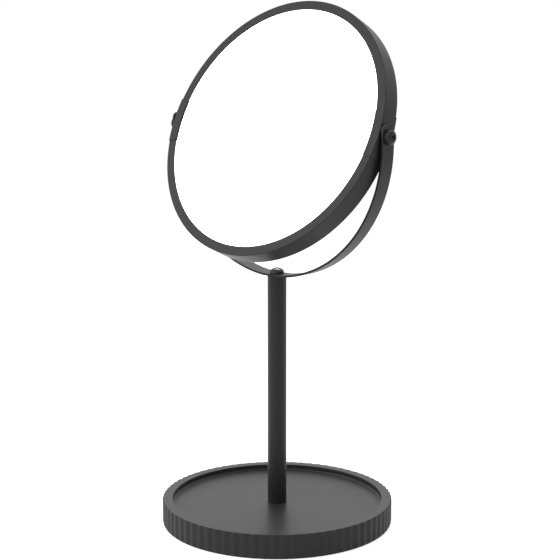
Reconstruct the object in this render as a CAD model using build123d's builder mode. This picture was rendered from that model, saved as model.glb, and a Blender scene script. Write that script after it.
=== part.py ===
from build123d import *
import os
from math import asin, cos, degrees, radians, sin, sqrt

# Table mirror: a round two-sided mirror that tilts in a flat steel bow, on a post, on a fluted tray base.
# Millimetres. Z is up, the mirror faces -Y, the pivot axis is along X, and the origin is under the base.

# Base: its height is the sum of what is stacked in it
base_radius = 74.6
flute_count = 75
flute_depth = 0.6
first_flute_angle = 0.64
rim_width = 6.6
rim_edge_radius = 0.35
tray_depth = 3.75
tray_cove_radius = 1.2
floor_thickness = 2.0
skirt_wall = 3.0
ledge_width = 2.0
skirt_lift = 0.6
toe_width = 0.5
toe_height = 1.0
pad_thickness = 1.0
pad_inset = 2.0
cover_thickness = 1.2
weight_thickness = 3.5

# Bolt that clamps base and post
bolt_radius = 2.5
bolt_head_radius = 4.75
bolt_head_height = 2.2
bolt_socket_radius = 1.5
bolt_socket_depth = 1.2
bolt_reach = 14.0
base_washer_radius = 7.5
base_washer_thickness = 1.0
spring_washer_radius = 4.6
spring_washer_thickness = 1.1
spring_washer_split = 0.8

# Post
post_radius = 6.1
post_wall = 1.2
post_length = 150.5
post_recess_depth = 0.6
foot_insert_length = 20.0
top_insert_length = 16.0

# Bow: a flat strip bent round the mirror
strip_thickness = 1.5
strip_width = 10.8
arm_tip_flat = 2.8
seat_margin = 0.5
arm_end_rise = 2.3

# Domed screws, one on the post and one at each pivot
screw_radius = 2.0
screw_head_radius = 4.5
screw_head_height = 3.6
screw_head_side = 1.8
screw_reach = 10.0
cross_length = 4.4
cross_width = 1.0
cross_depth = 1.9

# Mirror head
frame_radius = 85.0
frame_depth = 13.0
frame_wall = 0.4
frame_edge_radius = 0.4
bezel_width = 5.95
frame_joint = 0.4
head_clearance = 1.9
rest_tilt = 25.3
clip_length = 29.5
clip_wall = 0.4
nut_length = 9.0
nut_thickness = 2.2
glass_thickness = 2.0
magnifier_curve_radius = 1000.0
packing_width = 8.0

# Friction washers at the pivots
washer_radius = 4.6
inner_washer_thickness = 0.7
outer_washer_thickness = 0.5

# Clearances
running_fit = 0.05
face_gap = 0.05
plug_fit = 0.03
drop_in_fit = 0.3
screw_hole_fit = 0.2
bolt_cover_gap = 0.3

# Heights in the base, from the table up
ledge_z = pad_thickness + cover_thickness
bolt_head_z = ledge_z + bolt_cover_gap
spring_washer_z = bolt_head_z + bolt_head_height
base_washer_z = spring_washer_z + spring_washer_thickness
weight_z = base_washer_z + base_washer_thickness
floor_bottom_z = weight_z + weight_thickness
floor_z = floor_bottom_z + floor_thickness
base_top_z = floor_z + tray_depth
post_foot_z = floor_z - post_recess_depth
post_top_z = post_foot_z + post_length

# Radii in the base
tray_radius = base_radius - rim_width
cover_pocket_radius = base_radius - flute_depth - skirt_wall
cavity_radius = cover_pocket_radius - ledge_width
cover_radius = cover_pocket_radius - drop_in_fit
bolt_hole_radius = bolt_radius + drop_in_fit

# Mirror head, measured out along the pivot axis
clip_inner_radius = frame_radius + face_gap
clip_outer_radius = clip_inner_radius + clip_wall
clip_half_depth = frame_depth / 2 + face_gap + clip_wall
clip_half_angle = degrees(asin(clip_length / 2 / frame_radius))
bezel_radius = frame_radius - bezel_width
channel_radius = frame_radius - frame_wall
channel_half_depth = frame_depth / 2 - frame_wall
land_radius = washer_radius + drop_in_fit
land_reach = sqrt(clip_outer_radius**2 - land_radius**2)
nut_outer_reach = sqrt(channel_radius**2 - (nut_length / 2) ** 2) - face_gap
nut_inner_reach = nut_outer_reach - nut_thickness
glass_radius = nut_inner_reach - drop_in_fit
screw_hole_radius = screw_radius + screw_hole_fit

# Bow, round the mirror head and seated on the post
bow_inner_radius = land_reach + inner_washer_thickness + face_gap
bow_outer_radius = bow_inner_radius + strip_thickness
seat_half = post_radius + seat_margin
bow_centre_z = post_top_z + sqrt(bow_outer_radius**2 - seat_half**2)
seat_z = post_top_z + strip_thickness
inner_seat_half = sqrt(bow_inner_radius**2 - (bow_centre_z - seat_z) ** 2)
head_seat_reach = bow_outer_radius + face_gap + outer_washer_thickness

# The pivot is as high as lets the frame turn over above the bow's screw
sweep_radius = sqrt(frame_radius**2 + (frame_depth / 2) ** 2)
pivot_z = seat_z + screw_head_height + head_clearance + sweep_radius
arm_top_z = pivot_z + arm_end_rise + strip_width / 2

# The mirror head leans back from upright by its tilt
face_normal = Vector(0, -cos(radians(rest_tilt)), sin(radians(rest_tilt)))
head_plane = Plane(origin=(0, 0, pivot_z), x_dir=(1, 0, 0), z_dir=face_normal)
head_axis = Axis(head_plane.origin, face_normal)
sides = {"left": -1, "right": 1}


def head_section(side, angle):
    """Section of the mirror head, turned by an angle from one side: x runs out, y along its face normal."""
    out = (head_plane.x_dir * side).rotate(head_axis, angle)
    return Plane(origin=head_plane.origin, x_dir=out, z_dir=out.cross(face_normal))


def pivot_plane(side, reach):
    """Plane square to the pivot axis, at a distance from the mirror's centre, looking out on one side."""
    out = head_plane.x_dir * side
    return Plane(origin=head_plane.origin + out * reach, x_dir=face_normal, z_dir=out)


def polar(radius, angle):
    """Point at a radius and an angle in degrees."""
    return (radius * cos(radians(angle)), radius * sin(radians(angle)))


def keep(builder, name):
    """Names a finished piece and writes it."""
    builder.part.label = name
    export_step(builder.part, f"parts/{name}.step")


os.makedirs("parts", exist_ok=True)

# Base: the fluted outline is a soft wave of hollow and round arcs, cut back to a toe at the table, and a
# shallow recess in the tray's floor centres the post
flute_pitch = 360 / flute_count
wave_radius = base_radius - flute_depth / 2
with BuildPart() as base_tray:
    with BuildSketch(Plane.XY.offset(skirt_lift)):
        with BuildLine():
            for k in range(flute_count):
                hollow = first_flute_angle + k * flute_pitch
                ridge = hollow + flute_pitch / 2
                hollow_start = polar(wave_radius, hollow - flute_pitch / 4)
                ridge_start = polar(wave_radius, hollow + flute_pitch / 4)
                ridge_end = polar(wave_radius, ridge + flute_pitch / 4)
                ThreePointArc(hollow_start, polar(base_radius - flute_depth, hollow), ridge_start)
                ThreePointArc(ridge_start, polar(base_radius, ridge), ridge_end)
        make_face()
    extrude(amount=base_top_z - skirt_lift)
    with BuildSketch(Plane.XZ):
        with BuildLine():
            Polyline(
                (base_radius - toe_width, skirt_lift),
                (base_radius, skirt_lift),
                (base_radius, skirt_lift + toe_height),
                close=True,
            )
        make_face()
    revolve(axis=Axis.Z, mode=Mode.SUBTRACT)
    with BuildSketch(Plane.XZ):
        with BuildLine():
            Polyline(
                (0, floor_z),
                (0, base_top_z),
                (tray_radius, base_top_z),
                (tray_radius, floor_z + tray_cove_radius),
            )
            CenterArc(
                (tray_radius - tray_cove_radius, floor_z + tray_cove_radius), tray_cove_radius, 0, -90
            )
            Line((tray_radius - tray_cove_radius, floor_z), (0, floor_z))
        make_face()
    revolve(axis=Axis.Z, mode=Mode.SUBTRACT)
    with BuildSketch(Plane.XZ):
        with BuildLine():
            Polyline(
                (0, skirt_lift),
                (cover_pocket_radius, skirt_lift),
                (cover_pocket_radius, ledge_z),
                (cavity_radius, ledge_z),
                (cavity_radius, floor_bottom_z),
                (0, floor_bottom_z),
                close=True,
            )
        make_face()
    revolve(axis=Axis.Z, mode=Mode.SUBTRACT)
    with BuildSketch(Plane.XY.offset(floor_bottom_z)):
        Circle(bolt_hole_radius)
    extrude(amount=floor_thickness, mode=Mode.SUBTRACT)
    with BuildSketch(Plane.XY.offset(post_foot_z)):
        Circle(post_radius + running_fit)
    extrude(amount=post_recess_depth, mode=Mode.SUBTRACT)
    fillet(base_tray.faces().sort_by(Axis.Z)[-1].inner_wires().edges(), radius=rim_edge_radius)
keep(base_tray, "base_tray")

with BuildPart() as base_weight:
    with BuildSketch(Plane.XY.offset(weight_z)):
        Circle(cavity_radius - drop_in_fit)
        Circle(bolt_hole_radius, mode=Mode.SUBTRACT)
    extrude(amount=weight_thickness)
keep(base_weight, "base_weight")

with BuildPart() as base_cover:
    with BuildSketch(Plane.XY.offset(pad_thickness)):
        Circle(cover_radius)
    extrude(amount=cover_thickness)
keep(base_cover, "base_cover")

with BuildPart() as base_pad:
    with BuildSketch(Plane.XY):
        Circle(cover_radius - pad_inset)
    extrude(amount=pad_thickness)
keep(base_pad, "base_pad")

# Bolt stack under the weight
with BuildPart() as base_washer:
    with BuildSketch(Plane.XY.offset(base_washer_z)):
        Circle(base_washer_radius)
        Circle(bolt_hole_radius, mode=Mode.SUBTRACT)
    extrude(amount=base_washer_thickness)
keep(base_washer, "base_washer")

with BuildPart() as base_spring_washer:
    with BuildSketch(Plane.XY.offset(spring_washer_z)):
        Circle(spring_washer_radius)
        Circle(bolt_hole_radius, mode=Mode.SUBTRACT)
        Rectangle(
            spring_washer_radius,
            spring_washer_split,
            align=(Align.MIN, Align.CENTER),
            mode=Mode.SUBTRACT,
        )
    extrude(amount=spring_washer_thickness)
keep(base_spring_washer, "base_spring_washer")

with BuildPart() as base_bolt:
    with BuildSketch(Plane.XY.offset(bolt_head_z)):
        Circle(bolt_head_radius)
    extrude(amount=bolt_head_height)
    with BuildSketch(Plane.XY.offset(spring_washer_z)):
        Circle(bolt_radius)
    extrude(amount=floor_z + bolt_reach - spring_washer_z)
    with BuildSketch(Plane.XY.offset(bolt_head_z)):
        RegularPolygon(bolt_socket_radius, side_count=6)
    extrude(amount=bolt_socket_depth, mode=Mode.SUBTRACT)
keep(base_bolt, "base_bolt")

# Post: a tube with a threaded plug in each end
plug_radius = post_radius - post_wall - plug_fit
with BuildPart() as post_tube:
    with BuildSketch(Plane.XY.offset(post_foot_z)):
        Circle(post_radius)
        Circle(post_radius - post_wall, mode=Mode.SUBTRACT)
    extrude(amount=post_length)
keep(post_tube, "post_tube")

with BuildPart() as post_foot_insert:
    with BuildSketch(Plane.XY.offset(post_foot_z)):
        Circle(plug_radius)
        Circle(bolt_radius + plug_fit, mode=Mode.SUBTRACT)
    extrude(amount=foot_insert_length)
keep(post_foot_insert, "post_foot_insert")

with BuildPart() as post_top_insert:
    with BuildSketch(Plane.XY.offset(post_top_z - top_insert_length)):
        Circle(plug_radius)
        Circle(screw_radius + plug_fit, mode=Mode.SUBTRACT)
    extrude(amount=top_insert_length)
keep(post_top_insert, "post_top_insert")

# Bow: half of the strip's side view, mirrored, with a flat seat on the post and rounded arm ends
outer_arc = 90 - degrees(asin(seat_half / bow_outer_radius))
inner_arc = 90 - degrees(asin(inner_seat_half / bow_inner_radius))
with BuildPart() as yoke:
    with BuildSketch(Plane.XZ):
        with BuildLine():
            Line((0, post_top_z), (seat_half, post_top_z))
            CenterArc((0, bow_centre_z), bow_outer_radius, -outer_arc, outer_arc)
            CenterArc((0, bow_centre_z), bow_inner_radius, -inner_arc, inner_arc)
            Line((0, seat_z), (inner_seat_half, seat_z))
            Polyline(
                (bow_outer_radius, bow_centre_z),
                (bow_outer_radius, arm_top_z),
                (bow_inner_radius, arm_top_z),
                (bow_inner_radius, bow_centre_z),
            )
            mirror(about=Plane.YZ)
        make_face()
    extrude(amount=strip_width / 2, both=True)
    arm_end_corners = yoke.edges().filter_by(Axis.X).group_by(Axis.Z)[-1]
    fillet(arm_end_corners, radius=(strip_width - arm_tip_flat) / 2)
    with BuildSketch(Plane.XY.offset(post_top_z)):
        Circle(screw_hole_radius)
    extrude(amount=strip_thickness, mode=Mode.SUBTRACT)
    with BuildSketch(pivot_plane(1, 0)):
        Circle(screw_radius + running_fit)
    extrude(amount=bow_outer_radius, both=True, mode=Mode.SUBTRACT)
keep(yoke, "yoke")


def domed_screw(seat, reach):
    """Domed screw with a cross recess: its head stands on a plane, and its shank goes down through it."""
    dome_height = screw_head_height - screw_head_side
    side_plane = Plane(origin=seat.origin, x_dir=seat.x_dir, z_dir=-seat.y_dir)
    with BuildPart() as screw:
        with BuildSketch(side_plane):
            with BuildLine():
                Polyline(
                    (0, screw_head_height),
                    (0, -reach),
                    (screw_radius, -reach),
                    (screw_radius, 0),
                    (screw_head_radius, 0),
                    (screw_head_radius, screw_head_side),
                )
                dome_radius = (screw_head_radius**2 + dome_height**2) / (2 * dome_height)
                half_reach = screw_head_radius / 2
                drop = dome_radius - sqrt(dome_radius**2 - half_reach**2)
                ThreePointArc(
                    (screw_head_radius, screw_head_side),
                    (half_reach, screw_head_height - drop),
                    (0, screw_head_height),
                )
            make_face()
        revolve(axis=Axis(seat.origin, seat.z_dir))
        with BuildSketch(seat.offset(screw_head_height - cross_depth)):
            Rectangle(cross_length, cross_width)
            Rectangle(cross_width, cross_length)
        extrude(amount=cross_depth, mode=Mode.SUBTRACT)
    return screw


keep(domed_screw(Plane.XY.offset(seat_z), strip_thickness + screw_reach), "yoke_screw")

# Frame: two half rings of U-section channel, butted at the pivots and drilled there for the screws
joint_angle = degrees(asin(frame_joint / 2 / frame_radius))
for name, first_side in (("frame_upper_half", 1), ("frame_lower_half", -1)):
    with BuildPart() as frame_half:
        with BuildSketch(head_section(first_side, joint_angle)):
            with BuildLine():
                Polyline(
                    (bezel_radius, frame_depth / 2),
                    (frame_radius, frame_depth / 2),
                    (frame_radius, -frame_depth / 2),
                    (bezel_radius, -frame_depth / 2),
                    (bezel_radius, -channel_half_depth),
                    (channel_radius, -channel_half_depth),
                    (channel_radius, channel_half_depth),
                    (bezel_radius, channel_half_depth),
                    close=True,
                )
            channel = make_face()
            fillet(channel.vertices().group_by(Axis.X)[-1], radius=frame_edge_radius)
        revolve(axis=head_axis, revolution_arc=180 - 2 * joint_angle)
        with BuildSketch(pivot_plane(1, 0)):
            Circle(screw_hole_radius)
        extrude(amount=frame_radius, both=True, mode=Mode.SUBTRACT)
    keep(frame_half, name)

# Glass: a plain mirror in front, and a dished magnifying mirror behind
with BuildPart() as front_mirror:
    with BuildSketch(head_plane.offset(channel_half_depth - glass_thickness)):
        Circle(glass_radius)
    extrude(amount=glass_thickness)
keep(front_mirror, "front_mirror")


def dish(radius):
    """Height of the magnifying mirror's hollow face along the face normal, at a radius."""
    edge = sqrt(magnifier_curve_radius**2 - glass_radius**2)
    return sqrt(magnifier_curve_radius**2 - radius**2) - edge - channel_half_depth


def dish_arc(inner, outer, lift):
    """Arc parallel to the hollow face, from one radius to another."""
    middle = (inner + outer) / 2
    return ThreePointArc(*((radius, dish(radius) + lift) for radius in (inner, middle, outer)))


with BuildPart() as rear_mirror:
    with BuildSketch(head_section(1, 0)):
        with BuildLine():
            hollow_face = dish_arc(0, glass_radius, 0)
            back_face = dish_arc(0, glass_radius, glass_thickness)
            Line(hollow_face @ 0, back_face @ 0)
            Line(hollow_face @ 1, back_face @ 1)
        make_face()
    revolve(axis=head_axis)
keep(rear_mirror, "rear_mirror")

# Foam ring that presses the two glasses apart, against the channel's lips
packing_outer_radius = glass_radius - drop_in_fit
packing_front = channel_half_depth - glass_thickness - face_gap
with BuildPart() as packing_ring:
    with BuildSketch(head_section(1, 0)):
        with BuildLine():
            seat_arc = dish_arc(
                packing_outer_radius - packing_width, packing_outer_radius, glass_thickness + face_gap
            )
            Polyline(
                seat_arc @ 1,
                (packing_outer_radius, packing_front),
                (packing_outer_radius - packing_width, packing_front),
                seat_arc @ 0,
            )
        make_face()
    revolve(axis=head_axis)
keep(packing_ring, "packing_ring")

# Pivots: a sleeve over each joint of the frame, a nut plate in the channel, a screw and its friction washers
for side_name, side in sides.items():
    with BuildPart() as pivot_clip:
        with BuildSketch(head_section(side, -clip_half_angle)) as sleeve:
            with BuildLine():
                Polyline(
                    (bezel_radius, clip_half_depth),
                    (clip_outer_radius, clip_half_depth),
                    (clip_outer_radius, -clip_half_depth),
                    (bezel_radius, -clip_half_depth),
                    (bezel_radius, clip_wall - clip_half_depth),
                    (clip_inner_radius, clip_wall - clip_half_depth),
                    (clip_inner_radius, clip_half_depth - clip_wall),
                    (bezel_radius, clip_half_depth - clip_wall),
                    close=True,
                )
            make_face()
            fillet(sleeve.vertices().group_by(Axis.X)[-1], radius=frame_edge_radius + face_gap + clip_wall)
            fillet(sleeve.vertices().group_by(Axis.X)[-2], radius=frame_edge_radius + face_gap)
        revolve(axis=head_axis, revolution_arc=2 * clip_half_angle)
        with BuildSketch(pivot_plane(side, land_reach)):
            Circle(land_radius)
        extrude(amount=clip_wall, mode=Mode.SUBTRACT)
        with BuildSketch(pivot_plane(side, 0)):
            Circle(screw_hole_radius)
        extrude(amount=clip_outer_radius, mode=Mode.SUBTRACT)
    keep(pivot_clip, f"pivot_clip_{side_name}")

    with BuildPart() as pivot_nut:
        with BuildSketch(pivot_plane(side, nut_inner_reach)):
            Rectangle(2 * (channel_half_depth - drop_in_fit), nut_length)
            Circle(screw_radius + plug_fit, mode=Mode.SUBTRACT)
        extrude(amount=nut_thickness)
    keep(pivot_nut, f"pivot_nut_{side_name}")

    with BuildPart() as inner_washer:
        with BuildSketch(pivot_plane(side, land_reach)):
            Circle(washer_radius)
            Circle(screw_hole_radius, mode=Mode.SUBTRACT)
        extrude(amount=inner_washer_thickness)
    keep(inner_washer, f"inner_washer_{side_name}")

    with BuildPart() as outer_washer:
        with BuildSketch(pivot_plane(side, bow_outer_radius + face_gap)):
            Circle(washer_radius)
            Circle(screw_hole_radius, mode=Mode.SUBTRACT)
        extrude(amount=outer_washer_thickness)
    keep(outer_washer, f"outer_washer_{side_name}")

    pivot_screw = domed_screw(pivot_plane(side, head_seat_reach), head_seat_reach - nut_inner_reach)
    keep(pivot_screw, f"pivot_screw_{side_name}")
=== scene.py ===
from math import asin, atan2, cos, degrees, pi, radians, sin, sqrt

import bmesh
import bpy
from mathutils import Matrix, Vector


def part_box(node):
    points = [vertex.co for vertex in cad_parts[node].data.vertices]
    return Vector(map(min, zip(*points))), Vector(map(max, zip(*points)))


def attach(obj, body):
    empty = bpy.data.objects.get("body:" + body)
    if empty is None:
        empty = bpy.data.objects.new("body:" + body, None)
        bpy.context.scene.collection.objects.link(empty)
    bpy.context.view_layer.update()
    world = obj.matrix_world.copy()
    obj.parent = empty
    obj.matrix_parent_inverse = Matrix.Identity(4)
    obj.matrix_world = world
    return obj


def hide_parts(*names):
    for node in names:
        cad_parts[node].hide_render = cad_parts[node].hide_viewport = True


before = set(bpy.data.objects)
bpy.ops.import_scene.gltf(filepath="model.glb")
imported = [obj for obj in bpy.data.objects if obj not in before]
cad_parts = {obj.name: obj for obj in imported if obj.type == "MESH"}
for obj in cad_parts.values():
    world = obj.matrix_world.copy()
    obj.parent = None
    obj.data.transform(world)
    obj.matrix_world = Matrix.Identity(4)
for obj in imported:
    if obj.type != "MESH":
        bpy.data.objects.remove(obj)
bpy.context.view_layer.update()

# Base tray: the round shell that the mirror stands on, fluted all round, with a shallow tray on top.
# It is moulded in one piece, matt dark grey with a faint grain, and its wall is rougher than its tray.
# A recess in the tray's floor centres the post, and a bolt from below clamps the two together.
mm = 0.001
base_radius, tray_radius = 74.6, 68.0
skirt_z, rim_z = (corner.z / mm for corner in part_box("base_tray"))
tray_floor_z, floor_under_z, cover_ledge_z = 12.3, 10.3, 2.2
cover_pocket_radius, cavity_radius = 71.0, 69.0
post_recess_radius, post_recess_z, bolt_hole_radius = 6.15, 11.7, 2.8
rim_round, tray_edge_round, tray_cove = 0.2, 0.35, 1.2
toe_width, toe_height = 0.5, 1.0
flutes, flute_steps, flute_depth, first_flute_angle = 75, 12, 0.6, 0.64
shell_grey = (0.033, 0.033, 0.0337, 1)


def draw_section(name, corners):
    """Starts a piece with half its section, as corners (reach, height) in mm from the Z axis.
    One point is extruded from corner to corner, and the outline is filled."""
    bpy.ops.object.select_all(action="DESELECT")
    bpy.ops.mesh.primitive_plane_add(size=mm, location=(0, 0, 0))
    piece = bpy.context.object
    piece.name = piece.data.name = name
    bpy.ops.object.mode_set(mode="EDIT")
    bpy.ops.mesh.select_mode(type="VERT")
    bpy.ops.mesh.merge(type="CENTER")
    places = [Vector((reach, 0, height)) * mm for reach, height in corners]
    bpy.ops.transform.translate(value=places[0])
    for here, there in zip(places, places[1:]):
        bpy.ops.mesh.extrude_region_move(TRANSFORM_OT_translate={"value": there - here})
    bpy.ops.mesh.select_all(action="SELECT")
    bpy.ops.mesh.edge_face_add()
    return piece


def pick(kind, wanted):
    """Selects the points, edges or faces of the piece in hand whose middle, in mm, is wanted."""
    bpy.ops.mesh.select_mode(type=kind)
    bpy.ops.mesh.select_all(action="DESELECT")
    mesh = bpy.context.object.data
    hand = bmesh.from_edit_mesh(mesh)
    for part in {"VERT": hand.verts, "EDGE": hand.edges, "FACE": hand.faces}[kind]:
        ends = [part] if kind == "VERT" else part.verts
        if wanted(sum((end.co for end in ends), Vector()) / len(ends) / mm):
            part.select_set(True)
    hand.select_flush_mode()
    bmesh.update_edit_mesh(mesh)


def round_corner(reach, height, radius, steps):
    """Rounds the corner of the section in hand that is at a reach and a height."""
    corner = Vector((reach, 0, height))
    pick("VERT", lambda middle: (middle - corner).length < 0.01)
    bpy.ops.mesh.bevel(offset=radius * mm, segments=steps, affect="VERTICES")


def close_up():
    """Merges the seams of the piece in hand and turns its faces outwards."""
    bpy.ops.mesh.select_all(action="SELECT")
    bpy.ops.mesh.remove_doubles(threshold=0.001 * mm)
    bpy.ops.mesh.normals_make_consistent(inside=False)
    bpy.ops.object.mode_set(mode="OBJECT")


def turn(steps, start=0, sweep=360):
    """Turns the section in hand about Z into a closed piece, from a start over a sweep in degrees."""
    if sweep == 360:
        bpy.ops.mesh.select_all(action="SELECT")
        bpy.ops.mesh.delete(type="ONLY_FACE")
        pick("EDGE", lambda middle: middle.x < 0.001)
        bpy.ops.mesh.delete(type="EDGE")
    bpy.ops.mesh.select_all(action="SELECT")
    bpy.ops.transform.rotate(value=-radians(start), orient_axis="Z", center_override=(0, 0, 0))
    bpy.ops.mesh.spin(steps=steps, angle=-radians(sweep), center=(0, 0, 0), axis=(0, 0, 1))
    close_up()


def apply_to(piece, modifier):
    """Applies a modifier to a piece."""
    bpy.context.view_layer.objects.active = piece
    bpy.ops.object.modifier_apply(modifier=modifier.name)


def smooth(piece, hard_edge=35):
    """Smooths a piece, but for edges sharper than an angle, and keeps its flat faces flat."""
    bpy.ops.object.select_all(action="DESELECT")
    piece.select_set(True)
    bpy.context.view_layer.objects.active = piece
    bpy.ops.object.shade_smooth_by_angle(angle=radians(hard_edge))
    flat_faces = piece.modifiers.new("flat faces", "WEIGHTED_NORMAL")
    flat_faces.keep_sharp = True
    apply_to(piece, flat_faces)


class Socket:
    """One output in a finish's nodes. Arithmetic on it adds Math nodes."""

    def __init__(self, tree, output):
        self.tree, self.output = tree, output

    def node(self, kind, settings, sockets, output=0):
        """Adds a node: its settings first, then the values or links of its sockets."""
        added = self.tree.nodes.new(kind)
        for name, value in settings.items():
            setattr(added, name, value)
        for name, value in sockets.items():
            if isinstance(value, Socket):
                self.tree.links.new(value.output, added.inputs[name])
            else:
                added.inputs[name].default_value = value
        return Socket(self.tree, added.outputs[output]) if added.outputs else None

    def math(self, operation, *values):
        """Adds a Math node."""
        return self.node("ShaderNodeMath", {"operation": operation}, dict(enumerate(values)))

    def __add__(self, other):
        return self.math("ADD", self, other)

    def __rsub__(self, other):
        return self.math("SUBTRACT", other, self)

    def __mul__(self, other):
        return self.math("MULTIPLY", self, other)


def begin_finish(name):
    """Starts a finish and gives the place on the object that its pattern reads."""
    finish = bpy.data.materials.new(name)
    finish.use_nodes = True
    finish.node_tree.nodes.clear()
    place = finish.node_tree.nodes.new("ShaderNodeTexCoord")
    return finish, Socket(finish.node_tree, place.outputs["Object"])


def end_finish(place, shader):
    """Ends a finish with its shader's values."""
    surface = place.node("ShaderNodeBsdfPrincipled", {}, shader)
    place.node("ShaderNodeOutputMaterial", {}, {"Surface": surface})


def noise(place, per_mm, detail=2.0):
    """Cloudy pattern from 0 to 1, with about so many clouds in each mm."""
    clouds = {"Vector": place, "Scale": per_mm / mm, "Detail": detail}
    return place.node("ShaderNodeTexNoise", {}, clouds)


def shade(place, colour, amount, pattern):
    """Colour that a pattern makes darker and lighter by a share of itself."""
    dark, light = ([*(part * (1 + way * amount) for part in colour[:3]), 1] for way in (-1, 1))
    mixed = {"Factor": pattern, 6: dark, 7: light}
    return place.node("ShaderNodeMix", {"data_type": "RGBA"}, mixed, output=2)


def beyond(place, radius):
    """Gives 1 further than a radius in mm from the Z axis, and 0 nearer."""
    level = place.node("ShaderNodeVectorMath", {"operation": "MULTIPLY"}, {0: place, 1: (1, 1, 0)})
    reach = place.node("ShaderNodeVectorMath", {"operation": "LENGTH"}, {0: level}, output="Value")
    return place.math("GREATER_THAN", reach, radius * mm)


def matt_coat(name, colour, roughness, grain_per_mm, grain_height, wall_radius=None, added_roughness=0):
    """Matt coat with a fine grain, slightly uneven in tone and in gloss.
    Beyond a wall's radius it may have some added roughness."""
    cloud_effect, grain_effect = 0.06, 0.05
    finish, place = begin_finish(name)
    cloud = noise(place, 0.04, detail=3.0)
    grain = noise(place, grain_per_mm)
    uneven = cloud * cloud_effect + grain * grain_effect + (roughness - (cloud_effect + grain_effect) / 2)
    if wall_radius:
        uneven = uneven + beyond(place, wall_radius) * added_roughness
    end_finish(place, {
        "Base Color": shade(place, colour, 0.12, cloud * 0.6 + grain * 0.4),
        "Roughness": uneven,
        "Specular IOR Level": 0.26,
        "Normal": place.node("ShaderNodeBump", {}, {
            "Strength": 0.35, "Distance": grain_height * mm, "Height": grain}),
    })
    return finish


def wear(piece, finish):
    """Puts a finish on a piece."""
    piece.data.materials.clear()
    piece.data.materials.append(finish)


tray_base = draw_section("tray_base", [
    (bolt_hole_radius, floor_under_z),
    (cavity_radius, floor_under_z),
    (cavity_radius, cover_ledge_z),
    (cover_pocket_radius, cover_ledge_z),
    (cover_pocket_radius, skirt_z),
    (base_radius - toe_width, skirt_z),
    (base_radius, skirt_z + toe_height),
    (base_radius, rim_z),
    (tray_radius, rim_z),
    (tray_radius, tray_floor_z),
    (post_recess_radius, tray_floor_z),
    (post_recess_radius, post_recess_z),
    (bolt_hole_radius, post_recess_z),
])
round_corner(base_radius, rim_z, rim_round, steps=3)
round_corner(tray_radius, rim_z, tray_edge_round, steps=3)
round_corner(tray_radius, tray_floor_z, tray_cove, steps=8)
turn(flutes * flute_steps, start=first_flute_angle)


def on_columns(middle, step, inner, outer):
    """Tells if a point between two radii is so many steps from the middle of a flute's hollow."""
    turned = degrees(atan2(middle.y, middle.x)) - first_flute_angle
    column = round(turned * flutes * flute_steps / 360) % flute_steps
    return inner - 0.01 < middle.xy.length < outer + 0.01 and column in (step, -step % flute_steps)


# The wall's columns of points are drawn in to a soft wave, each by its place between hollow and ridge
wall_band = (base_radius - rim_round, base_radius)
toe_band = (base_radius - toe_width, base_radius - toe_width)
bpy.ops.object.mode_set(mode="EDIT")
for step in range(flute_steps // 2):
    depth = flute_depth * (1 + cos(2 * pi * step / flute_steps)) / 2
    for inner, outer in (wall_band, toe_band):
        drawn_in = min((base_radius - depth) / outer, 1)
        pick("VERT", lambda middle: on_columns(middle, step, inner, outer))
        bpy.ops.transform.resize(value=(drawn_in, drawn_in, 1), center_override=(0, 0, 0))
bpy.ops.object.mode_set(mode="OBJECT")
smooth(tray_base)
shell_coat = matt_coat(
    "shell_coat", shell_grey, roughness=0.36, grain_per_mm=1.6, grain_height=0.02,
    wall_radius=base_radius - flute_depth - 0.1, added_roughness=0.26)
wear(tray_base, shell_coat)
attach(tray_base, "stand")
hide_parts("base_tray")

# Ballast and bolt: a zinc-plated steel plate inside the base keeps the mirror from tipping.
# A socket-head bolt with a flat and a spring washer pulls the plate, the base and the post together.
zinc_grey, spangles_per_mm = (0.55, 0.55, 0.54, 1), 0.35
zinc_plate, place = begin_finish("zinc_plate")
cells = {"Vector": place, "Scale": spangles_per_mm / mm}
spangle = place.node("ShaderNodeTexVoronoi", {}, cells, output="Color")
crystal = spangle.node("ShaderNodeSeparateColor", {}, {"Color": spangle})
end_finish(place, {
    "Base Color": shade(place, zinc_grey, 0.12, crystal),
    "Metallic": 1.0,
    "Roughness": crystal * 0.12 + noise(place, 2.0) * 0.1 + 0.24,
})
for node in ("base_weight", "base_bolt", "base_washer", "base_spring_washer"):
    wear(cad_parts[node], zinc_plate)

# Cover and pad: a thin plate closes the underside, pressed into its pocket in the base.
# A disc of black non-slip foam is stuck to it, and the mirror rests on that.
wear(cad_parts["base_cover"], shell_coat)
pad_radius, pad_thickness = 68.7, 1.0
pad_black = (0.02, 0.02, 0.02, 1)


def foam(name, colour, cells_per_mm):
    """Closed-cell foam: small round cells in a matt skin."""
    finish, place = begin_finish(name)
    cells = {"Vector": place, "Scale": cells_per_mm / mm}
    cell = place.node("ShaderNodeTexVoronoi", {}, cells, output="Distance")
    end_finish(place, {
        "Base Color": shade(place, colour, 0.25, cell),
        "Roughness": 0.95 - cell * 0.15,
        "Specular IOR Level": 0.2,
        "Normal": place.node("ShaderNodeBump", {}, {
            "Strength": 0.5, "Distance": 0.1 * mm, "Height": cell}),
    })
    return finish


foot_pad = draw_section("foot_pad", [
    (0, 0),
    (pad_radius, 0),
    (pad_radius, pad_thickness),
    (0, pad_thickness),
])
round_corner(pad_radius, 0, radius=0.35, steps=3)
round_corner(pad_radius, pad_thickness, radius=0.2, steps=2)
turn(steps=128)
smooth(foot_pad)
wear(foot_pad, foam("pad_foam", pad_black, cells_per_mm=2.2))
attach(foot_pad, "stand")
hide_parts("base_pad")

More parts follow.
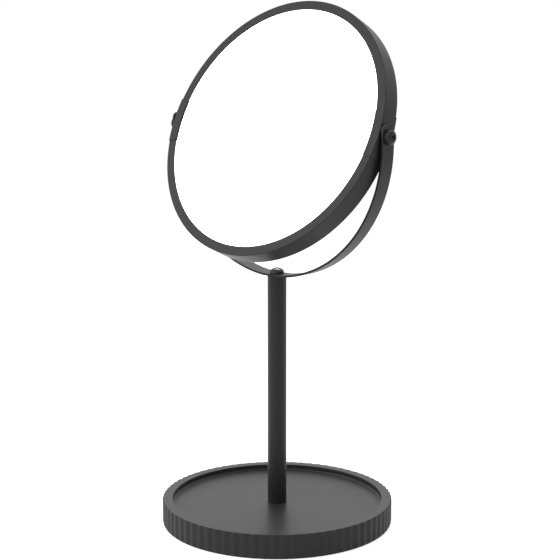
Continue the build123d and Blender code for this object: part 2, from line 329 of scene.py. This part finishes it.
# Post: a length of steel tube, faced and broken at its ends and powder-coated dark grey.
# It stands in the tray's recess, with a threaded steel plug pressed into each end.
post_radius, post_bore = 6.1, 4.9
post_foot_z, post_top_z = (corner.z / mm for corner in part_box("post_tube"))
coat_grey = (0.018, 0.018, 0.0184, 1)
post = draw_section("post", [
    (post_bore, post_foot_z),
    (post_radius, post_foot_z),
    (post_radius, post_top_z),
    (post_bore, post_top_z),
])
round_corner(post_radius, post_foot_z, radius=0.2, steps=2)
round_corner(post_radius, post_top_z, radius=0.3, steps=3)
turn(steps=96)
smooth(post)
powder_coat = matt_coat("powder_coat", coat_grey, roughness=0.42, grain_per_mm=1.3, grain_height=0.025)
wear(post, powder_coat)
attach(post, "stand")
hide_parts("post_tube")
for node in ("post_foot_insert", "post_top_insert"):
    wear(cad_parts[node], zinc_plate)

# Bow: a flat steel strip bent into a half ring round the mirror, with a flat seat on the post.
# Its arm ends are rounded and pierced for the pivots, its edges are dulled, and it is powder-coated.
strip_width, strip_thickness = 10.8, 1.5
seat_half, bow_radius, tip_flat = 6.6, 87.56, 2.8
seat_hole_radius, pivot_hole_radius, dulled_edge = 2.2, 2.05, 0.2
seat_z, arm_top_z = (corner.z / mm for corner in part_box("yoke"))
bow_centre_z = seat_z + sqrt(bow_radius**2 - seat_half**2)
pivot_low, pivot_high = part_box("pivot_screw_right")
pivot_z = (pivot_low.z + pivot_high.z) / 2 / mm


def add_block(name, size, middle):
    """Starts a piece as a block of a size round a middle, both in mm."""
    bpy.ops.object.select_all(action="DESELECT")
    bpy.ops.mesh.primitive_cube_add(size=1, location=Vector(middle) * mm, scale=Vector(size) * mm)
    bpy.ops.object.transform_apply()
    block = bpy.context.object
    block.name = block.data.name = name
    return block


def cut_away(piece, cutter):
    """Cuts one piece out of another."""
    cut = piece.modifiers.new("cut", "BOOLEAN")
    cut.operation, cut.object = "DIFFERENCE", cutter
    apply_to(piece, cut)
    bpy.data.objects.remove(cutter)


def drill(piece, radius, middle, along, length):
    """Drills a hole of a radius through a piece, along X or Z."""
    turned = (0, pi / 2, 0) if along == "X" else (0, 0, 0)
    bpy.ops.object.select_all(action="DESELECT")
    bpy.ops.mesh.primitive_cylinder_add(
        vertices=48,
        radius=radius * mm,
        depth=length * mm,
        location=Vector(middle) * mm,
        rotation=turned)
    bpy.ops.object.transform_apply()
    cut_away(piece, bpy.context.object)


def soften(piece, width, steps=2, hard_edge=40):
    """Bevels the edges of a piece that are sharper than an angle."""
    edges = piece.modifiers.new("soft edges", "BEVEL")
    edges.limit_method, edges.angle_limit = "ANGLE", radians(hard_edge)
    edges.width, edges.segments, edges.harden_normals = width * mm, steps, False
    apply_to(piece, edges)


bow = add_block(
    "bow",
    (seat_half, strip_width, strip_thickness),
    (seat_half / 2, 0, seat_z + strip_thickness / 2))
bpy.ops.object.mode_set(mode="EDIT")
pick("FACE", lambda middle: middle.x < 0.01)
bpy.ops.mesh.delete(type="FACE")
pick("FACE", lambda middle: middle.x > seat_half - 0.01)
arm_sweep = pi / 2 - asin(seat_half / bow_radius)
bpy.ops.mesh.spin(steps=64, angle=arm_sweep, center=(0, 0, bow_centre_z * mm), axis=(0, 1, 0))
pick("FACE", lambda middle: middle.z > bow_centre_z - 0.2)
arm_rise = Vector((0, 0, arm_top_z - bow_centre_z)) * mm
bpy.ops.mesh.extrude_region_move(TRANSFORM_OT_translate={"value": arm_rise})
pick("VERT", lambda middle: middle.z > arm_top_z - 0.5)
bpy.ops.transform.resize(value=(1, 1, 0), center_override=(0, 0, arm_top_z * mm))
pick("EDGE", lambda middle: middle.z > arm_top_z - 0.1 and abs(middle.y) > strip_width / 2 - 0.1)
bpy.ops.mesh.bevel(offset=(strip_width - tip_flat) / 2 * mm, segments=14, affect="EDGES")
bpy.ops.object.mode_set(mode="OBJECT")
other_arm = bow.modifiers.new("other arm", "MIRROR")
other_arm.merge_threshold = 0.001 * mm
apply_to(bow, other_arm)
bpy.ops.object.mode_set(mode="EDIT")
close_up()
soften(bow, dulled_edge)
drill(bow, seat_hole_radius, (0, 0, seat_z), "Z", 4 * strip_thickness)
drill(bow, pivot_hole_radius, (0, 0, pivot_z), "X", 3 * bow_radius)
smooth(bow)
wear(bow, powder_coat)
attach(bow, "stand")
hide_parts("yoke")

# Bow screw: a black domed screw with a cross recess, turned into the plug in the post's top.
# It is brighter than the coat on the steel and than the pivot screws, so its dome takes a highlight.
head_radius, head_height, head_side, shank_radius = 4.5, 3.6, 1.8, 2.0
cross_length, cross_width, cross_depth, cross_taper = 4.4, 1.0, 1.9, (0.5, 0.7, 1)
bow_screw_seat_z, bow_screw_reach = seat_z + strip_thickness, 11.5
screw_black = (0.012, 0.012, 0.0125, 1)
dome_height = head_height - head_side
dome_radius = (head_radius**2 + dome_height**2) / (2 * dome_height)
dome_half = asin(head_radius / dome_radius)
dome_steps = 5
dome = [dome_half * step / dome_steps for step in range(dome_steps + 1)]


def lay(piece, at, *turns):
    """Turns a piece, in degrees about X, Y and Z, and moves it to its place in mm."""
    bpy.ops.object.select_all(action="DESELECT")
    piece.select_set(True)
    bpy.context.view_layer.objects.active = piece
    for angles in turns:
        piece.rotation_euler = [radians(angle) for angle in angles]
        bpy.ops.object.transform_apply()
    piece.location = Vector(at) * mm
    bpy.ops.object.transform_apply()


def copy_of(piece, name):
    """Copies a piece, with a mesh of its own."""
    twin = piece.copy()
    twin.data = piece.data.copy()
    twin.name = twin.data.name = name
    bpy.context.scene.collection.objects.link(twin)
    return twin


def blackened(name, roughness, specular):
    """Blackened steel, a little burnished in patches by handling."""
    burnish_effect = 0.08
    finish, place = begin_finish(name)
    burnish = noise(place, 0.5, detail=3.0)
    end_finish(place, {
        "Base Color": shade(place, screw_black, 0.2, burnish),
        "Roughness": burnish * burnish_effect + (roughness - burnish_effect / 2),
        "Specular IOR Level": specular,
        "Normal": place.node("ShaderNodeBump", {}, {
            "Strength": 0.2, "Distance": 0.01 * mm, "Height": noise(place, 3.0)}),
    })
    return finish


bow_screw = draw_section("bow_screw", [
    *((dome_radius * sin(angle), head_height - dome_radius * (1 - cos(angle))) for angle in dome),
    (head_radius, 0),
    (shank_radius, 0),
    (shank_radius, -bow_screw_reach),
    (0, -bow_screw_reach),
])
round_corner(head_radius, head_side, radius=0.7, steps=3)
round_corner(head_radius, 0, radius=0.15, steps=2)
turn(steps=64)
for angle in (0, 90):
    slot = add_block(
        "slot",
        (cross_length, cross_width, cross_depth),
        (0, 0, head_height - cross_depth / 2))
    bpy.ops.object.mode_set(mode="EDIT")
    pick("FACE", lambda middle: middle.z < head_height - cross_depth + 0.01)
    bpy.ops.transform.resize(value=cross_taper)
    bpy.ops.object.mode_set(mode="OBJECT")
    lay(slot, (0, 0, 0), (0, 0, angle))
    cut_away(bow_screw, slot)
smooth(bow_screw)
pivot_screw = copy_of(bow_screw, "right_pivot_screw")
lay(bow_screw, (0, 0, bow_screw_seat_z))
wear(bow_screw, blackened("bright_screw", roughness=0.22, specular=0.5))
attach(bow_screw, "stand")
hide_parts("yoke_screw")

# Mirror frame: two half rings of steel channel, rolled round the glass and butted at the pivots.
# Each is made face up, drilled for the pivot screws, powder-coated and then hung in the bow.
frame_radius, bezel_radius, frame_half_depth, frame_wall = 85.0, 79.05, 6.5, 0.4
channel_radius, channel_half_depth = frame_radius - frame_wall, frame_half_depth - frame_wall
half_joint_gap, screw_hole_radius = 0.2, 2.2
joint_angle = degrees(asin(half_joint_gap / frame_radius))
rest_tilt = 25.3


def hang(piece):
    """Hangs a piece of the mirror head, made face up at the origin, at its rest tilt on the pivots."""
    lay(piece, (0, 0, pivot_z), (90 - rest_tilt, 0, 0))


for name, node, start in (
    ("upper_frame", "frame_upper_half", joint_angle),
    ("lower_frame", "frame_lower_half", 180 + joint_angle),
):
    half_ring = draw_section(name, [
        (bezel_radius, frame_half_depth),
        (frame_radius, frame_half_depth),
        (frame_radius, -frame_half_depth),
        (bezel_radius, -frame_half_depth),
        (bezel_radius, -channel_half_depth),
        (channel_radius, -channel_half_depth),
        (channel_radius, channel_half_depth),
        (bezel_radius, channel_half_depth),
    ])
    for face in (-frame_half_depth, frame_half_depth):
        round_corner(frame_radius, face, radius=0.4, steps=4)
        round_corner(bezel_radius, face, radius=0.2, steps=2)
    turn(steps=144, start=start, sweep=180 - 2 * joint_angle)
    drill(half_ring, screw_hole_radius, (0, 0, 0), "X", 3 * frame_radius)
    hang(half_ring)
    smooth(half_ring)
    wear(half_ring, powder_coat)
    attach(half_ring, "mirror_head")
    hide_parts(node)

# Glass: a plain silvered mirror in front and a dished magnifying one behind, their edges ground.
# They sit back to back in the channel, pressed against its lips by a foam ring between them.
glass_radius, glass_thickness, ground_edge = 81.93, 2.0, 0.3
magnifier_radius, dish_steps = 1000.0, 16
silver = (0.98, 0.985, 0.985, 1)
foam_grey = (0.5, 0.5, 0.48, 1)
foam_outer_radius, foam_inner_radius, foam_round, foam_gap = 81.63, 73.63, 0.8, 0.05
front_back_z = channel_half_depth - glass_thickness


def dish(radius):
    """Height of the magnifying mirror's hollow face at a radius."""
    edge = sqrt(magnifier_radius**2 - glass_radius**2)
    return sqrt(magnifier_radius**2 - radius**2) - edge - channel_half_depth


mirror_silver, place = begin_finish("mirror_silver")
end_finish(place, {
    "Base Color": shade(place, silver, 0.004, noise(place, 0.02)),
    "Metallic": 1.0,
    "Roughness": noise(place, 0.03, detail=4.0) * 0.016,
})
front_glass = draw_section("front_glass", [
    (0, front_back_z),
    (glass_radius, front_back_z),
    (glass_radius, channel_half_depth),
    (0, channel_half_depth),
])
for face in (front_back_z, channel_half_depth):
    round_corner(glass_radius, face, ground_edge, steps=1)
turn(steps=192)
dish_reaches = [glass_radius * step / dish_steps for step in range(dish_steps + 1)]
rear_glass = draw_section("rear_glass", [
    *((reach, dish(reach)) for reach in dish_reaches),
    *((reach, dish(reach) + glass_thickness) for reach in reversed(dish_reaches)),
])
for face in (dish(glass_radius), dish(glass_radius) + glass_thickness):
    round_corner(glass_radius, face, ground_edge, steps=1)
turn(steps=192)
for glass, node in ((front_glass, "front_mirror"), (rear_glass, "rear_mirror")):
    hang(glass)
    smooth(glass)
    wear(glass, mirror_silver)
    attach(glass, "mirror_head")
    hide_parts(node)

foam_ring = draw_section("foam_ring", [
    (foam_inner_radius, dish(foam_inner_radius) + glass_thickness + foam_gap),
    (foam_outer_radius, dish(foam_outer_radius) + glass_thickness + foam_gap),
    (foam_outer_radius, front_back_z - foam_gap),
    (foam_inner_radius, front_back_z - foam_gap),
])
pick("VERT", lambda middle: True)
bpy.ops.mesh.bevel(offset=foam_round * mm, segments=4, affect="VERTICES")
turn(steps=128)
hang(foam_ring)
smooth(foam_ring)
wear(foam_ring, foam("packing_foam", foam_grey, cells_per_mm=1.2))
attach(foam_ring, "mirror_head")
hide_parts("packing_ring")

# Pivot sleeves: short pieces of thinner channel that slip over the two joints of the frame.
# Each has a flat land for its friction washer, and a steel nut plate inside the frame's channel.
sleeve_outer_radius, sleeve_half_depth, sleeve_wall = 85.45, 6.95, 0.4
sleeve_inner_radius = sleeve_outer_radius - sleeve_wall
sleeve_inner_half = sleeve_half_depth - sleeve_wall
sleeve_half_length, land_radius = 14.75, 4.9
sleeve_half_angle = degrees(asin(sleeve_half_length / frame_radius))
land_reach = sqrt(sleeve_outer_radius**2 - land_radius**2)
right_sleeve = draw_section("right_sleeve", [
    (bezel_radius, sleeve_half_depth),
    (sleeve_outer_radius, sleeve_half_depth),
    (sleeve_outer_radius, -sleeve_half_depth),
    (bezel_radius, -sleeve_half_depth),
    (bezel_radius, -sleeve_inner_half),
    (sleeve_inner_radius, -sleeve_inner_half),
    (sleeve_inner_radius, sleeve_inner_half),
    (bezel_radius, sleeve_inner_half),
])
for way in (-1, 1):
    round_corner(sleeve_outer_radius, way * sleeve_half_depth, radius=0.85, steps=5)
    round_corner(sleeve_inner_radius, way * sleeve_inner_half, radius=0.45, steps=4)
turn(steps=24, start=-sleeve_half_angle, sweep=2 * sleeve_half_angle)
soften(right_sleeve, width=0.1)
drill(right_sleeve, land_radius, (land_reach + sleeve_wall, 0, 0), "X", 2 * sleeve_wall)
drill(right_sleeve, screw_hole_radius, (sleeve_outer_radius, 0, 0), "X", 4 * sleeve_wall)
left_sleeve = copy_of(right_sleeve, "left_sleeve")
lay(left_sleeve, (0, 0, 0), (0, 0, 180))
for sleeve, side in ((right_sleeve, "right"), (left_sleeve, "left")):
    hang(sleeve)
    smooth(sleeve)
    wear(sleeve, powder_coat)
    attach(sleeve, "mirror_head")
    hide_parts(f"pivot_clip_{side}")
    wear(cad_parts[f"pivot_nut_{side}"], zinc_plate)

# Pivot screws and washers: a domed screw at each end of the pivot axis, tightened into its nut plate.
# It is the bow's screw with a shorter shank and a duller black.
# Black nylon washers each side of the bow's arm rub as the mirror turns, and hold it at any tilt.
head_seat_reach, nut_inner_reach = 88.11, 82.23
washer_radius, washer_bore, washer_round, washer_gap = 4.6, 2.2, 0.12, 0.05
washer_black = (0.02, 0.02, 0.02, 1)
nylon = matt_coat("washer_nylon", washer_black, roughness=0.55, grain_per_mm=0.8, grain_height=0.01)
bpy.context.view_layer.objects.active = pivot_screw
bpy.ops.object.mode_set(mode="EDIT")
pick("VERT", lambda middle: middle.z < -0.1)
shank_cut = bow_screw_reach - (head_seat_reach - nut_inner_reach)
bpy.ops.transform.translate(value=(0, 0, shank_cut * mm))
bpy.ops.object.mode_set(mode="OBJECT")
dull_screw = blackened("dull_screw", roughness=0.42, specular=0.3)
screws = {"right": pivot_screw, "left": copy_of(pivot_screw, "left_pivot_screw")}
for side, way in (("right", 1), ("left", -1)):
    screw = screws[side]
    lay(screw, (way * head_seat_reach, 0, pivot_z), (0, 0, -way * rest_tilt), (0, way * 90, 0))
    wear(screw, dull_screw)
    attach(screw, "mirror_head")
    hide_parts(f"pivot_screw_{side}")
    for part, start, thickness in (
        ("inner", land_reach, 0.7),
        ("outer", bow_radius + washer_gap, 0.5),
    ):
        washer = draw_section(f"{side}_{part}_washer", [
            (washer_bore, 0),
            (washer_radius, 0),
            (washer_radius, thickness),
            (washer_bore, thickness),
        ])
        for face in (0, thickness):
            round_corner(washer_radius, face, washer_round, steps=2)
        turn(steps=64)
        lay(washer, (way * start, 0, pivot_z), (0, way * 90, 0))
        smooth(washer)
        wear(washer, nylon)
        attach(washer, "mirror_head")
        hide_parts(f"{part}_washer_{side}")

# Camera: a little above the mirror's middle and to its right, as in the photograph.
# A long lens looks slightly down from a little under a metre away.
camera_place, camera_dip, camera_turn = (0.6094, -0.6853, 0.3235), 10.16, 41.526
lens_length, sensor_width = 94.125, 36
bpy.ops.object.select_all(action="DESELECT")
bpy.ops.object.camera_add(
    location=camera_place, rotation=(radians(90 - camera_dip), 0, radians(camera_turn)))
camera = bpy.context.object
camera.data.lens, camera.data.sensor_width = lens_length, sensor_width
bpy.context.scene.camera = camera

# Studio: a pale floor under a white surround, with two large softboxes in front and two smaller behind.
# The surround is white to the camera, the mirror and the gloss, and gives the object a plain soft light.
white, floor_pale, floor_shadowed = (1, 1, 1, 1), (0.7, 0.7, 0.7, 1), (0.8, 0.8, 0.8, 1)
floor_radius, floor_glow, soft_level, white_level = 1.5, 0.8, 0.1, 1.0
lamp_aim = Vector((0, 0, 0.15))


def begin_seen(setting):
    """Clears the nodes of the floor's paint or the surround.
    Gives 1 to rays from the camera, from gloss and through glass, and 0 to rays that only bring light."""
    setting.use_nodes = True
    setting.node_tree.nodes.clear()
    path = setting.node_tree.nodes.new("ShaderNodeLightPath")
    from_camera, from_gloss, through_glass = (
        Socket(setting.node_tree, path.outputs[f"Is {kind} Ray"])
        for kind in ("Camera", "Glossy", "Transmission"))
    return from_camera.math("MAXIMUM", from_camera.math("MAXIMUM", from_camera, from_gloss), through_glass)


bpy.ops.object.select_all(action="DESELECT")
bpy.ops.mesh.primitive_circle_add(vertices=64, radius=floor_radius, fill_type="NGON", location=(0, 0, 0))
floor = bpy.context.object
floor.name = floor.data.name = "studio_floor"
floor_paint = bpy.data.materials.new("floor_paint")
seen = begin_seen(floor_paint)
pale = seen.node("ShaderNodeBsdfDiffuse", {}, {"Color": floor_pale})
shadowed = seen.node("ShaderNodeBsdfDiffuse", {}, {"Color": floor_shadowed})
glow = seen.node("ShaderNodeEmission", {}, {"Color": white, "Strength": floor_glow})
bright = seen.node("ShaderNodeAddShader", {}, {0: shadowed, 1: glow})
surface = seen.node("ShaderNodeMixShader", {}, {0: seen, 1: pale, 2: bright})
seen.node("ShaderNodeOutputMaterial", {}, {"Surface": surface})
wear(floor, floor_paint)

surround = bpy.data.worlds.new("surround")
bpy.context.scene.world = surround
seen = begin_seen(surround)
soft_light = seen.node("ShaderNodeBackground", {}, {"Color": white, "Strength": soft_level})
bright = seen.node("ShaderNodeBackground", {}, {"Color": white, "Strength": white_level})
surface = seen.node("ShaderNodeMixShader", {}, {0: seen, 1: soft_light, 2: bright})
seen.node("ShaderNodeOutputWorld", {}, {"Surface": surface})

for name, at, (width, height), watts in (
    ("front_top_softbox", (0.2, -0.9, 1.4), (1.0, 1.0), 9.2),
    ("front_left_softbox", (-0.9, -1.1, 0.9), (1.0, 1.0), 7.8),
    ("rear_left_softbox", (-0.6, 0.68, 1.24), (0.45, 0.45), 3.3),
    ("rear_strip_softbox", (-0.45, 0.5, 1.35), (1.1, 0.35), 9.2),
):
    bpy.ops.object.light_add(type="AREA", location=at)
    lamp = bpy.context.object
    lamp.name = lamp.data.name = name
    lamp.data.shape, lamp.data.energy = "RECTANGLE", watts
    lamp.data.size, lamp.data.size_y = width, height
    lamp.rotation_euler = (lamp_aim - Vector(at)).to_track_quat("-Z", "Y").to_euler()
bpy.context.scene.view_settings.view_transform = "Standard"
